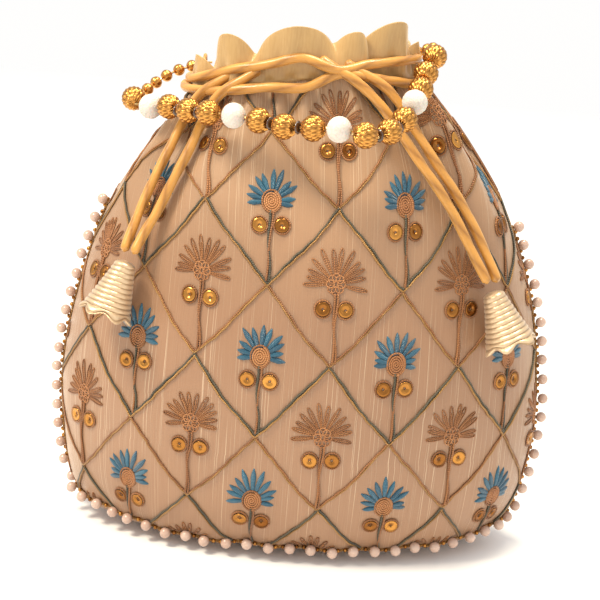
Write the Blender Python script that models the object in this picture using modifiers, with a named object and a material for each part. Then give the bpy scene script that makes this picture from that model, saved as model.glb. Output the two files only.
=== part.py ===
"""Potli bag: a drawstring pouch of two fabric panels with a beaded bail handle and two bell tassels.

Frame: metres, +Z up, +X to the bag's right as seen from its front, front towards -Y.
The origin is the middle of the flat base, on the surface that the bag stands on.
"""

import math

import bmesh
import bpy
import numpy as np
from mathutils import Matrix, Vector

MM = 0.001

# ---------------------------------------------------------------- driving dimensions
FABRIC = 1.2 * MM  # a panel of silk with its backing cloth
LINING_CLOTH = 0.6 * MM
LINING_GAP = 2.2 * MM  # how far the lining lies inside the panels' outer face
SEAM_CLEARANCE = 0.9 * MM  # half the gap that the two panels keep at the side seams
NECK_LEAN = 0.165  # rise of the drawn mouth per unit of X: the left end sits lower
NECK_SHIFT = -7.5 * MM  # the drawn mouth sits left of the bag's middle
NECK_ARCH = 8.0 * MM  # rise of the drawn mouth's front between its two ends
CORD_D = 4.0 * MM
PEARL_D = 4.6 * MM
GOLD_BEAD_D = 10.0 * MM
WHITE_BEAD_D = 10.0 * MM
SMALL_BEAD_D = 5.0 * MM
SPACER_D = 5.2 * MM
SPACER_LENGTH = 1.5 * MM
WIRE_D = 1.0 * MM
BEAD_BORE_R = 1.8 * MM
BEAD_GAP = 0.3 * MM
BELL_LENGTH = 21 * MM
BELL_TOP_R = 4.3 * MM
BELL_MOUTH_R = 10.5 * MM
BELL_WALL = 1.0 * MM
BELL_RECESS = 3.0 * MM  # the wound cone is stuffed down to here

# Level sections of the stuffed pouch, from the rim of its flat base to the drawn neck:
# height, half width, depth in front of the side seams, depth behind them.
SECTIONS = [
    (0, 66, 27, 29),
    (5, 85, 38, 37),
    (14, 93.5, 44.5, 42),
    (30, 98.5, 49.5, 45),
    (55, 100.5, 52.5, 47),
    (80, 98.5, 52, 46),
    (105, 94, 49, 43.5),
    (128, 86.5, 44.5, 40),
    (148, 77, 38.5, 36),
    (168, 64.5, 31.5, 30.5),
    (184, 53, 25, 25),
    (196, 40.5, 20, 20),
]
SEAM_FRONT_T = 0.10  # where the bottom seam crosses the front, as a share of the way up
SEAM_SIDE_T = 0.165  # where it turns up into the side seams
SIDE_PINCH = 1.18  # above 1, the panels meet in a slight ridge at the side seams


# ---------------------------------------------------------------- scene helpers
def clear_scene():
    for obj in list(bpy.data.objects):
        bpy.data.objects.remove(obj)


clear_scene()
PARTS = bpy.data.collections.new("potli_bag")
bpy.context.scene.collection.children.link(PARTS)


def material(name, colour, roughness, metallic=0.0):
    mat = bpy.data.materials.new(name)
    mat.use_nodes = True
    shader = mat.node_tree.nodes["Principled BSDF"]
    shader.inputs["Base Color"].default_value = (*colour, 1)
    shader.inputs["Roughness"].default_value = roughness
    shader.inputs["Metallic"].default_value = metallic
    return mat


SILK = material("cream_silk", (0.66, 0.45, 0.28), 0.55)
SATIN = material("gold_satin", (0.72, 0.50, 0.24), 0.4)
CORD_GOLD = material("gold_cord", (0.60, 0.33, 0.08), 0.45)
GOLD = material("antique_gold", (0.78, 0.46, 0.14), 0.3, 1.0)
WHITE = material("sugar_white", (0.80, 0.76, 0.70), 0.6)
BLACK = material("black_glass", (0.03, 0.015, 0.01), 0.2)
PEARL = material("pearl", (0.75, 0.62, 0.50), 0.25)
TINSEL = material("tinsel", (0.80, 0.68, 0.42), 0.35, 0.8)


def add_object(name, data, mat):
    obj = bpy.data.objects.new(name, data)
    data.materials.clear()
    data.materials.append(mat)
    PARTS.objects.link(obj)
    return obj


def mesh_object(name, bm, mat):
    mesh = bpy.data.meshes.new(name)
    bm.to_mesh(mesh)
    bm.free()
    mesh.shade_smooth()
    return add_object(name, mesh, mat)


def solidify(obj, thickness):
    """Thickens an open surface inwards, away from its normals."""
    shell = obj.modifiers.new("thickness", "SOLIDIFY")
    shell.thickness = thickness
    shell.offset = -1
    shell.use_even_offset = True
    return obj


def smooth_through(points, share):
    """A point of the Catmull-Rom curve through a list of points, at a share of its length in spans."""
    points = np.asarray(points, float)
    at = min(max(share, 0.0), 1.0) * (len(points) - 1)
    i = min(int(at), len(points) - 2)
    u = at - i
    before = points[i - 1] if i else 2 * points[0] - points[1]
    after = points[i + 2] if i + 2 < len(points) else 2 * points[-1] - points[-2]
    start, end = points[i], points[i + 1]
    return 0.5 * (
        2 * start
        + (end - before) * u
        + (2 * before - 5 * start + 4 * end - after) * u**2
        + (3 * start - before - 3 * end + after) * u**3
    )


def smooth_line(points, count):
    return [Vector(smooth_through(points, k / (count - 1))) for k in range(count)]


def tube(name, points, diameter, mat, cyclic=False, resolution=2):
    """A round cord along a polyline, with filled ends."""
    curve = bpy.data.curves.new(name, "CURVE")
    curve.dimensions = "3D"
    curve.bevel_depth = diameter / 2
    curve.bevel_resolution = resolution
    curve.use_fill_caps = not cyclic
    spline = curve.splines.new("POLY")
    spline.points.add(len(points) - 1)
    for point, place in zip(spline.points, points):
        point.co = (*place, 1)
    spline.use_cyclic_u = cyclic
    return add_object(name, curve, mat)


# ---------------------------------------------------------------- the pouch's outer surface
def section_at(t):
    """(height, half width, front depth, back depth, ) of the pouch at a share t of the way up."""
    return smooth_through(SECTIONS, t) * MM


def skin(t, angle, inset=0.0):
    """A point of the pouch's skin. The angle runs from the left seam (180) over the front (90) to 0."""
    height, half_width, front, back = section_at(t)
    across, along = math.cos(angle), math.sin(angle)
    depth = (front if along >= 0 else back) - inset
    x = (half_width - inset) * across
    y = -math.copysign(abs(along) ** SIDE_PINCH, along) * depth
    drawn = max(0.0, (t - 0.55) / 0.45) ** 2
    base_lift = inset * max(0.0, 1 - t * 6)
    arch = NECK_ARCH * drawn**3 * along**2 * (1 if along > 0 else 0.5)
    return Vector((
        x + NECK_SHIFT * drawn,
        y,
        height + NECK_LEAN * x * drawn + arch + base_lift,
    ))


def over_skin(t, angle, lift):
    """A point that lies a little outside the skin, along the skin's normal."""
    step = 0.002
    rise = skin(min(t + step, 1), angle) - skin(max(t - step, 0), angle)
    turn = skin(t, angle + step) - skin(t, angle - step)
    return skin(t, angle) + rise.cross(turn).normalized() * lift


def edge_angle(t):
    """How far round from the side seam a panel's edge stops, to leave room for the other's."""
    depth = min(section_at(t)[2:4])
    return (SEAM_CLEARANCE / depth) ** (1 / SIDE_PINCH)


def seam_t(angle):
    """How far up the bottom seam lies: low across the front, level round the back."""
    if math.sin(angle) < 0:
        return SEAM_SIDE_T
    return SEAM_FRONT_T + (SEAM_SIDE_T - SEAM_FRONT_T) * abs(math.cos(angle)) ** 3


def grid_faces(bm, rows, closed):
    """Quads between rows of vertices of equal length, each row one level further up."""
    for low, high in zip(rows, rows[1:]):
        count = len(low)
        for i in range(count if closed else count - 1):
            k = (i + 1) % count
            bm.faces.new((low[i], low[k], high[k], high[i]))


def front_panel():
    """The front panel, from the bottom seam to the neck, between the two side seams."""
    bm = bmesh.new()
    columns, levels = 24, 12
    rows = []
    for j in range(levels + 1):
        row = []
        for i in range(columns + 1):
            angle = math.pi * (1 - i / columns)
            start = seam_t(angle) + 0.014
            t = start + (1 - start) * j / levels
            edge = edge_angle(t)
            angle = min(max(angle, edge), math.pi - edge)
            row.append(bm.verts.new(skin(t, angle)))
        rows.append(row)
    grid_faces(bm, rows, closed=False)
    return solidify(mesh_object("front_panel", bm, SILK), FABRIC)


def back_panel():
    """The back panel: the whole back, and the flat base that it turns under to reach the front seam."""
    bm = bmesh.new()
    half, levels, round_levels, base_rings = 20, 10, 3, 2
    angles = [math.pi - 2 * math.pi * i / (2 * half) for i in range(2 * half)]
    rows = []
    for k in range(1, base_rings + 1):
        share = k / (base_rings + 0.0)
        rows.append([bm.verts.new(skin(0, a) * share) for a in angles])
    for k in range(1, round_levels + 1):
        rows.append([bm.verts.new(skin(seam_t(a) * k / round_levels, a)) for a in angles])
    grid_faces(bm, rows, closed=True)
    bm.faces.new(list(reversed(rows[0])))
    behind = [i % (2 * half) for i in range(half, 2 * half + 1)]
    upper = [[rows[-1][i] for i in behind]]
    for j in range(1, levels + 1):
        t = SEAM_SIDE_T + (1 - SEAM_SIDE_T) * j / levels
        edge = edge_angle(t)
        row = []
        for n, i in enumerate(behind):
            inwards = edge if n == 0 else -edge if n == half else 0.0
            row.append(bm.verts.new(skin(t, angles[i] - inwards)))
        upper.append(row)
    grid_faces(bm, upper, closed=False)
    return solidify(mesh_object("back_panel", bm, SILK), FABRIC)


def lining_bag():
    """The plain inner bag with its padding, drawn shut at the neck: one solid."""
    bm = bmesh.new()
    columns, levels = 24, 9
    angles = [math.pi - 2 * math.pi * i / columns for i in range(columns)]
    rows = []
    for j in range(levels + 1):
        rows.append([bm.verts.new(skin(0.97 * j / levels, a, LINING_GAP)) for a in angles])
    grid_faces(bm, rows, closed=True)
    bm.faces.new(list(reversed(rows[0])))
    bm.faces.new(rows[-1])
    return mesh_object("lining_bag", bm, SATIN)


# ---------------------------------------------------------------- the frill above the drawstrings
FRILL_LOBES = 9
FRILL_HEIGHT = 13 * MM
FRILL_FLARE = 1.5 * MM
FRILL_WAVE = 1.8 * MM
FRILL_CLOTH = 0.9 * MM


def frill_point(share, angle):
    """A point of the frill, from the neck (share 0) to its free edge (share 1)."""
    outwards = Vector((math.cos(angle), -math.sin(angle), 0))
    lobe = math.cos(FRILL_LOBES * angle + 0.6)
    rise = FRILL_HEIGHT * share * (0.87 + 0.13 * lobe)
    spread = FRILL_FLARE * share + FRILL_WAVE * share * lobe
    return skin(1, angle) + outwards * spread + Vector((0, 0, rise + 0.5 * MM))


def mouth_frill():
    bm = bmesh.new()
    columns, levels = 54, 2
    angles = [math.pi - 2 * math.pi * i / columns for i in range(columns)]
    rows = []
    for j in range(levels + 1):
        rows.append([bm.verts.new(frill_point(j / levels, a)) for a in angles])
    grid_faces(bm, rows, closed=True)
    return solidify(mesh_object("mouth_frill", bm, SATIN), FRILL_CLOTH)


# ---------------------------------------------------------------- pearl edging in the seam
PEARL_TOP_T = 0.68


def pearl_edging():
    """The beaded braid that is caught in the side and bottom seams, as one continuous string."""
    low_t = SEAM_SIDE_T + 0.05
    side = [(0.0, PEARL_TOP_T + (low_t - PEARL_TOP_T) * k / 18) for k in range(19)]
    across = [(math.pi * k / 34, seam_t(math.pi * k / 34)) for k in range(1, 34)]
    line = []
    for angle, t in side + across + [(math.pi, t) for _, t in reversed(side)]:
        outwards = Vector((math.cos(angle), -0.8 * math.sin(angle), 0)).normalized()
        point = skin(t, angle) + outwards * (PEARL_D / 2 + 0.9 * MM)
        point.z = max(point.z, PEARL_D / 2 + 0.1 * MM)
        line.append(point)
    return tube("pearl_edging", line, PEARL_D, PEARL, resolution=1)


# ---------------------------------------------------------------- the two drawstrings
def drawstring_loop(name, t):
    """A satin cord's turn round the drawn neck."""
    lift = CORD_D / 2 + 0.5 * MM
    line = [over_skin(t, 2 * math.pi * k / 32, lift) for k in range(32)]
    return tube(name, line, CORD_D, CORD_GOLD, cyclic=True)


def tail(name, knots):
    """One hanging end of a drawstring: (share of the way up, angle in degrees) down the shoulder."""
    places = [over_skin(t, math.radians(a), lift * MM) for t, a, lift in knots]
    return tube(name, smooth_line(places, 17), CORD_D, CORD_GOLD)


def bell(name, top, bottom):
    """A thread-wound cone that ends a drawstring, with a ribbed wall over a stuffed core."""
    rib_count = 6
    profile = []
    for k in range(2 * rib_count + 1):
        share = k / (2 * rib_count)
        radius = BELL_TOP_R + (BELL_MOUTH_R - BELL_TOP_R) * share**1.15
        profile.append((radius - (0.5 * MM if k % 2 else 0), -BELL_LENGTH * share))
    profile.insert(0, (0.0, 0.6 * MM))
    last = profile[-1]
    profile.append((last[0] - BELL_WALL, last[1]))
    profile.append((last[0] - 1.6 * BELL_WALL, last[1] + BELL_RECESS))
    profile.append((0.0, last[1] + BELL_RECESS))
    mesh = bpy.data.meshes.new(name)
    mesh.from_pydata([(r, 0, z) for r, z in profile], [(i, i + 1) for i in range(len(profile) - 1)], [])
    obj = add_object(name, mesh, TINSEL)
    screw = obj.modifiers.new("turn", "SCREW")
    screw.steps = 16
    screw.render_steps = 16
    screw.use_merge_vertices = True
    screw.merge_threshold = 0.0001
    screw.use_normal_calculate = False
    high, low = [over_skin(t, math.radians(a), lift * MM) for t, a, lift in (top, bottom)]
    turn = (high - low).to_track_quat("Z", "Y").to_matrix().to_4x4()
    obj.matrix_world = Matrix.Translation(high) @ turn
    return obj


LEFT_A = [(0.885, 149.5, 3), (0.855, 146, 3), (0.78, 142, 4), (0.72, 141, 5), (0.66, 140, 7), (0.61, 139, 10)]
LEFT_B = [(0.885, 131, 3), (0.855, 129, 3), (0.78, 130, 4), (0.70, 133, 5), (0.65, 135, 7), (0.61, 135.5, 10)]
RIGHT_A = [(0.885, 59, 3), (0.84, 57, 3), (0.79, 53, 4), (0.73, 48, 5), (0.655, 45, 7), (0.605, 43, 10)]
RIGHT_B = [(0.885, 43, 3), (0.84, 43, 3), (0.79, 43, 4), (0.73, 41.5, 5), (0.655, 40, 7), (0.605, 39.5, 10)]


# ---------------------------------------------------------------- the beaded bail handle
PIVOT_LEFT = Vector((-49.0, 14.0, 194.4)) * MM
PIVOT_RIGHT = Vector((34.0, 15.0, 205.4)) * MM
PIVOT_AXIS = (PIVOT_LEFT - PIVOT_RIGHT).normalized()
EYE_R = 3.2 * MM
EYE_CORD = 1.5 * MM

# Bead centres in mm from the left pivot round the front to the right one, with their kind.
BEADS = [
    ("s", -54.3, 14.0, 192.6),
    ("s", -59.5, 13.0, 190.7),
    ("s", -64.2, 10.6, 188.2),
    ("s", -67.9, 6.6, 185.6),
    ("s", -70.7, 1.9, 183.2),
    ("g", -75.2, -5.2, 179.9),
    ("w", -67.5, -11.7, 178.1),
    ("g", -59.6, -18.2, 179.5),
    ("k", -55.5, -22.7, 178.8),
    ("g", -51.2, -26.9, 179.7),
    ("k", -46.9, -31.2, 179.8),
    ("g", -42.7, -35.5, 180.7),
    ("w", -32.9, -38.5, 180.7),
    ("g", -23.1, -41.6, 180.0),
    ("k", -18.4, -45.4, 179.8),
    ("g", -13.3, -48.8, 179.5),
    ("k", -8.0, -51.7, 180.0),
    ("g", -2.4, -54.0, 180.4),
    ("w", 7.1, -58.0, 181.3),
    ("g", 16.8, -60.0, 180.2),
    ("k", 21.7, -56.4, 180.0),
    ("g", 25.9, -52.1, 181.2),
    ("k", 29.0, -47.0, 182.2),
    ("g", 31.6, -42.2, 184.8),
    ("w", 35.3, -34.5, 190.6),
    ("g", 37.8, -25.4, 194.7),
    ("g", 39.8, -16.8, 200.1),
    ("g", 43.2, -8.6, 206.1),
    ("s", 43.6, -1.2, 207.6),
    ("s", 43.2, 4.2, 208.2),
    ("s", 41.4, 9.2, 207.2),
    ("s", 37.8, 13.8, 205.4),
]
KINDS = {
    "s": ("small_gold_bead", SMALL_BEAD_D, 8, 4, GOLD),
    "g": ("gold_bead", GOLD_BEAD_D, 12, 5, GOLD),
    "w": ("white_bead", WHITE_BEAD_D, 12, 5, WHITE),
    "k": ("black_spacer", SPACER_D, 8, 2, BLACK),
}


def bead_mesh(kind):
    """A round bead with a bore along its Z axis, as one closed ring of facets."""
    name, diameter, around, along, mat = KINDS[kind]
    radius = diameter / 2
    bore = min(BEAD_BORE_R, 0.27 * diameter)
    squash = SPACER_LENGTH / diameter if kind == "k" else 0.94
    start = math.asin(bore / radius)
    bm = bmesh.new()
    rings = []
    for j in range(along + 1):
        polar = start + (math.pi - 2 * start) * j / along
        r = radius * math.sin(polar)
        z = radius * squash * math.cos(polar)
        ring = []
        for i in range(around):
            turn = 2 * math.pi * i / around
            ring.append(bm.verts.new((r * math.cos(turn), r * math.sin(turn), z)))
        rings.append(ring)
    rings.append(rings[0])
    for high, low in zip(rings, rings[1:]):
        for i in range(around):
            k = (i + 1) % around
            bm.faces.new((low[i], low[k], high[k], high[i]))
    mesh = bpy.data.meshes.new(name)
    bm.to_mesh(mesh)
    bm.free()
    mesh.shade_smooth()
    return mesh


def bead_places():
    """Each bead's centre and the direction of its bore, along the bail."""
    places = [PIVOT_LEFT] + [Vector(bead[1:]) * MM for bead in BEADS] + [PIVOT_RIGHT]
    found = []
    for n in range(1, len(places) - 1):
        found.append((places[n], (places[n + 1] - places[n - 1]).normalized()))
    return found


def handle_line(places):
    """The wire's line: out through the left eye, straight through every bead, in at the right eye."""
    line = [PIVOT_LEFT - PIVOT_AXIS * 3 * MM, PIVOT_LEFT + PIVOT_AXIS * 1.5 * MM]
    for bead, (centre, along) in zip(BEADS, places):
        reach = KINDS[bead[0]][1] * (0.15 if bead[0] == "k" else 0.485)
        line += [centre - along * reach, centre + along * reach]
    line += [PIVOT_RIGHT - PIVOT_AXIS * 1.0 * MM, PIVOT_RIGHT + PIVOT_AXIS * 3 * MM]
    return line


def handle():
    places = bead_places()
    tube("handle_wire", handle_line(places), WIRE_D, TINSEL, resolution=1)
    meshes = {kind: bead_mesh(kind) for kind in KINDS}
    count = dict.fromkeys(KINDS, 0)
    for bead, (centre, along) in zip(BEADS, places):
        kind = bead[0]
        count[kind] += 1
        obj = bpy.data.objects.new(f"{KINDS[kind][0]}_{count[kind]}", meshes[kind])
        if not meshes[kind].materials:
            meshes[kind].materials.append(KINDS[kind][4])
        turn = along.to_track_quat("Z", "Y").to_matrix().to_4x4()
        obj.matrix_world = Matrix.Translation(centre) @ turn
        PARTS.objects.link(obj)


def anchor(name, pivot):
    """A cord eye that is sewn to the frill's side, and lets the wire turn inside it."""
    line = []
    for k in range(12):
        turn = 2 * math.pi * k / 12
        upright = PIVOT_AXIS.cross(Vector((0, 1, 0)))
        line.append(pivot + (Vector((0, math.cos(turn), 0)) + upright * math.sin(turn)) * EYE_R)
    return tube(name, line, EYE_CORD, CORD_GOLD, cyclic=True)


front_panel()
back_panel()
lining_bag()
mouth_frill()
pearl_edging()
drawstring_loop("drawstring_left_loop", 0.985)
drawstring_loop("drawstring_right_loop", 0.925)
tail("drawstring_left_end_a", LEFT_A)
tail("drawstring_left_end_b", LEFT_B)
tail("drawstring_right_end_a", RIGHT_A)
tail("drawstring_right_end_b", RIGHT_B)
bell("tassel_bell_left", (0.592, 137.3, 9.5), (0.50, 138.5, 13.5))
bell("tassel_bell_right", (0.588, 41.3, 9.5), (0.50, 38, 13.5))
anchor("handle_eye_left", PIVOT_LEFT)
anchor("handle_eye_right", PIVOT_RIGHT)
handle()
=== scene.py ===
import math

import bpy
import numpy as np
from mathutils import Matrix, Vector


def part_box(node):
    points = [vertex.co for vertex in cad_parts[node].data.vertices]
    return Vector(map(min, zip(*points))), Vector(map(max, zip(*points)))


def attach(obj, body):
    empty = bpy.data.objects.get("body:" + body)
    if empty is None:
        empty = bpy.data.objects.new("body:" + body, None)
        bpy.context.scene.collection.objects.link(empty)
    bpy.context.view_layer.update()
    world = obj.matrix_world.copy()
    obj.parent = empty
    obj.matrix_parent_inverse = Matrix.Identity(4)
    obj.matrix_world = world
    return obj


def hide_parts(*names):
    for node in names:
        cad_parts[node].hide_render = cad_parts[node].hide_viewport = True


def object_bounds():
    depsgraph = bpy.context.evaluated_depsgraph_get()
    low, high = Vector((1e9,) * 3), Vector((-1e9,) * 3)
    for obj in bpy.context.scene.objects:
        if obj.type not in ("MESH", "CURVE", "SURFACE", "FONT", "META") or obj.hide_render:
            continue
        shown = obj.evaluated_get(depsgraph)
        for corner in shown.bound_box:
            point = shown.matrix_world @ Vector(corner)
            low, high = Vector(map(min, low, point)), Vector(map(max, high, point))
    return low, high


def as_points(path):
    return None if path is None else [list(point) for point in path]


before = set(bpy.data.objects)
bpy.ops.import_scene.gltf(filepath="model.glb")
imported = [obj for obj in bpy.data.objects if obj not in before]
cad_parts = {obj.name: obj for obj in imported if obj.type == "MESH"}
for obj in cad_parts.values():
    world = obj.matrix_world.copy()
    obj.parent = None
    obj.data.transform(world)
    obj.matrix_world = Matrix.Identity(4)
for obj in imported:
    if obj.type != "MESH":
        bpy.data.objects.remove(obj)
cad_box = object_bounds()
MM = 0.001

# ------------------------------------------------------------------------------------------
# The view: a plain pale floor and soft studio light. The bag is seen from its front, a
# little from above, and leans slightly to the right in the view.
# ------------------------------------------------------------------------------------------
AIM = Vector((-2.3, 0, 100.3)) * MM
VIEW_DISTANCE = 595 * MM
VIEW_DOWN = math.radians(15)
VIEW_ROLL = math.radians(4.5)

scene = bpy.context.scene
scene.view_settings.view_transform = "Standard"
camera = bpy.data.objects.new("camera", bpy.data.cameras.new("camera"))
camera.data.lens = 85
camera.data.clip_start = 0.01
towards_eye = Vector((0, -math.cos(VIEW_DOWN), math.sin(VIEW_DOWN)))
level_right = Vector((1, 0, 0))
level_up = towards_eye.cross(level_right)
view_right = level_right * math.cos(VIEW_ROLL) + level_up * math.sin(VIEW_ROLL)
view_up = level_up * math.cos(VIEW_ROLL) - level_right * math.sin(VIEW_ROLL)
turn = Matrix((view_right, view_up, towards_eye)).transposed().to_4x4()
camera.matrix_world = Matrix.Translation(AIM + towards_eye * VIEW_DISTANCE) @ turn
scene.collection.objects.link(camera)
scene.camera = camera


def softbox(name, place, size, power, colour):
    lamp = bpy.data.lights.new(name, "AREA")
    lamp.size = size
    lamp.energy = power
    lamp.color = colour
    obj = bpy.data.objects.new(name, lamp)
    aimed = (Vector(place) - AIM).to_track_quat("Z", "Y").to_matrix().to_4x4()
    obj.matrix_world = Matrix.Translation(place) @ aimed
    scene.collection.objects.link(obj)


softbox("key_light", (-0.50, -0.30, 0.85), 0.24, 9.0, (1.0, 0.90, 0.72))
softbox("fill_light", (0.70, -0.75, 0.35), 0.60, 0.5, (1.0, 0.88, 0.74))
softbox("top_light", (0.12, 0.02, 0.90), 0.22, 6.5, (1.0, 0.91, 0.72))
world = bpy.data.worlds.new("studio")
world.use_nodes = True
world.node_tree.nodes["Background"].inputs["Color"].default_value = (1.0, 0.995, 0.985, 1)
world.node_tree.nodes["Background"].inputs["Strength"].default_value = 1.0
scene.world = world


class Value:
    """A shader value: arithmetic on it adds Math nodes."""

    def __init__(self, finish, socket):
        self.finish = finish
        self.socket = socket

    def maths(self, operation, *values):
        sockets = dict(enumerate(values))
        return self.finish.add("ShaderNodeMath", {"operation": operation}, sockets)

    def __add__(self, other):
        return self.maths("ADD", self, other)

    def __sub__(self, other):
        return self.maths("SUBTRACT", self, other)

    def __rsub__(self, other):
        return self.maths("SUBTRACT", other, self)

    def __mul__(self, other):
        return self.maths("MULTIPLY", self, other)

    __radd__ = __add__
    __rmul__ = __mul__


class Finish:
    """A material in the making, around one Principled shader."""

    def __init__(self, name, **constants):
        self.material = bpy.data.materials.new(name)
        self.material.use_nodes = True
        self.nodes = self.material.node_tree.nodes
        self.links = self.material.node_tree.links
        self.shader = self.nodes["Principled BSDF"]
        for socket, value in constants.items():
            self.set(self.shader, socket.replace("_", " "), value)

    def set(self, node, socket, value):
        target = node.inputs[socket]
        if isinstance(value, Value):
            self.links.new(value.socket, target)
        elif isinstance(value, (tuple, list)) and len(value) == 3 and target.type == "RGBA":
            target.default_value = (*value, 1)
        else:
            target.default_value = value

    def add(self, kind, settings=None, sockets=None, out=0):
        """Places a node: its settings first, then the values or links of its sockets."""
        node = self.nodes.new(kind)
        for name, value in (settings or {}).items():
            if name == "stops":
                while len(node.color_ramp.elements) < len(value):
                    node.color_ramp.elements.new(0.5)
                for stop, (place, colour) in zip(node.color_ramp.elements, value):
                    stop.position = place
                    stop.color = (*colour, 1)
            else:
                setattr(node, name, value)
        for name, value in (sockets or {}).items():
            self.set(node, name, value)
        return Value(self, node.outputs[out])

    def noise(self, scale, detail=2.0, where=None, stretch=(1, 1, 1)):
        where = where or self.add("ShaderNodeTexCoord", out="Object")
        placed = self.add("ShaderNodeMapping", {}, {"Vector": where, "Scale": stretch})
        return self.add("ShaderNodeTexNoise", {}, {"Vector": placed, "Scale": scale, "Detail": detail})

    def mix(self, share, first, second):
        return self.add(
            "ShaderNodeMix",
            {"data_type": "RGBA"},
            {"Factor": share, 6: first, 7: second},
            out=2,
        )

    def spot(self, name, out="Fac"):
        """A value that the mesh carries."""
        return self.add("ShaderNodeAttribute", {"attribute_name": name}, out=out)

    def relief(self, height, distance, strength=1.0):
        return self.add(
            "ShaderNodeBump", {}, {"Height": height, "Distance": distance, "Strength": strength}
        )

    def surface(self, **inputs):
        for socket, value in inputs.items():
            self.set(self.shader, socket.replace("_", " "), value)
        return self.material


def shape(name, points, faces, finish=None, smooth=True, **carried):
    """A mesh object of points and faces; carried are values that each point has."""
    mesh = bpy.data.meshes.new(name)
    mesh.from_pydata([tuple(p) for p in points], [], faces)
    for key, values in carried.items():
        values = np.asarray(values, np.float32)
        kind = "FLOAT" if values.ndim == 1 else "FLOAT_VECTOR"
        layer = mesh.attributes.new(key, kind, "POINT")
        layer.data.foreach_set("value" if kind == "FLOAT" else "vector", values.ravel())
    if smooth:
        mesh.shade_smooth()
    if finish:
        mesh.materials.append(finish)
    obj = bpy.data.objects.new(name, mesh)
    scene.collection.objects.link(obj)
    return obj


FLOOR_REACH = 1.6
floor_finish = Finish("floor_paper", Roughness=0.9)
floor_tone = floor_finish.noise(3.0)
floor_finish.surface(Base_Color=floor_finish.mix(floor_tone, (0.93, 0.93, 0.93), (0.95, 0.95, 0.95)))
corners = [(x, y, cad_box[0][2] - 0.2 * MM) for x, y in ((-1, -1), (1, -1), (1, 1), (-1, 1))]
floor = shape(
    "floor",
    [(x * FLOOR_REACH, y * FLOOR_REACH, z) for x, y, z in corners],
    [(0, 1, 2, 3)],
    floor_finish.material,
)

# ------------------------------------------------------------------------------------------
# The pouch: two gathered panels of cream dupion silk over a padded lining, sewn together
# round the sides and the bottom and drawn shut at the neck, where the cloth falls in folds.
# ------------------------------------------------------------------------------------------
# Level sections from the flat base to the neck: height, half width, front and back depth.
SECTIONS = MM * np.array([
    (0, 66, 27, 29),
    (5, 85, 38, 37),
    (14, 93.5, 44.5, 42),
    (30, 98.5, 49.5, 45),
    (55, 100.5, 52.5, 47),
    (80, 98.5, 52, 46),
    (105, 94, 49, 43.5),
    (128, 86.5, 44.5, 40),
    (148, 77, 38.5, 36),
    (168, 62.5, 31, 30),
    (184, 49.5, 24.5, 24.5),
    (196, 40.5, 20, 20),
])
SIDE_PINCH = 1.18
NECK_LEAN = 0.165
NECK_SHIFT = -7.5 * MM
NECK_ARCH = 8 * MM
SEAM_FRONT_T = 0.10
SEAM_SIDE_T = 0.165
PANEL_HALF = 122 * MM  # half the flat panel's width

# Folds below the neck: angle and width in degrees, where up the bag it starts, height in mm.
FOLDS = [
    (172, 7, 0.72, 3.6),
    (161, 7, 0.60, 6.2),
    (128, 7, 0.60, 5.0),
    (116, 6, 0.74, 3.4),
    (104, 5, 0.78, 3.2),
    (92, 6, 0.72, 3.8),
    (80, 5, 0.78, 3.0),
    (70, 5, 0.66, 4.0),
    (30, 8, 0.54, 9.0),
    (16, 6, 0.60, 4.6),
    (3, 6, 0.70, 3.0),
    (42, 5, 0.56, -2.6),
    (22, 4, 0.58, -3.0),
    (9, 4, 0.62, -2.4),
    (148, 6, 0.60, -2.2),
    (167, 4, 0.64, -2.6),
    (122, 3, 0.66, -2.2),
    (110, 3, 0.72, -2.4),
    (98, 3, 0.72, -2.4),
    (86, 3, 0.72, -2.4),
    (75, 3, 0.70, -2.4),
]
noise_draw = np.random.default_rng(7)
for back_angle in np.arange(-14, -179, -13.5):
    FOLDS.append((
        back_angle + noise_draw.uniform(-3, 3),
        noise_draw.uniform(5, 8),
        noise_draw.uniform(0.58, 0.8),
        noise_draw.uniform(2.2, 3.6),
    ))


def section(t):
    """The level section at a share t of the way up, smooth through SECTIONS."""
    at = np.clip(t, 0, 1) * (len(SECTIONS) - 1)
    i = np.minimum(at.astype(int), len(SECTIONS) - 2)
    u = (at - i)[..., None]
    rows = np.vstack([2 * SECTIONS[0] - SECTIONS[1], SECTIONS, 2 * SECTIONS[-1] - SECTIONS[-2]])
    before, start, end, after = rows[i], rows[i + 1], rows[i + 2], rows[i + 3]
    return 0.5 * (
        2 * start
        + (end - before) * u
        + (2 * before - 5 * start + 4 * end - after) * u**2
        + (3 * start - before - 3 * end + after) * u**3
    )


def skin(t, angle):
    """The pouch's smooth outer surface; the angle is 0 at the right seam and 90 degrees in front."""
    t, angle = np.broadcast_arrays(np.asarray(t, float), np.asarray(angle, float))
    height, half_width, front, back = np.moveaxis(section(t), -1, 0)
    across, along = np.cos(angle), np.sin(angle)
    x = half_width * across
    y = -np.sign(along) * np.abs(along) ** SIDE_PINCH * np.where(along >= 0, front, back)
    drawn = np.maximum(0, (t - 0.55) / 0.45) ** 2
    arch = NECK_ARCH * drawn**3 * along**2 * np.where(along > 0, 1, 0.5)
    return np.stack([x + NECK_SHIFT * drawn, y, height + NECK_LEAN * x * drawn + arch], -1)


def outward(t, angle):
    step = 0.003
    rise = skin(np.minimum(t + step, 1), angle) - skin(np.maximum(t - step, 0), angle)
    round_ = skin(t, angle + step) - skin(t, angle - step)
    normal = np.cross(rise, round_)
    return normal / np.linalg.norm(normal, axis=-1, keepdims=True)


def ease(value):
    value = np.clip(value, 0, 1)
    return value * value * (3 - 2 * value)


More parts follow.
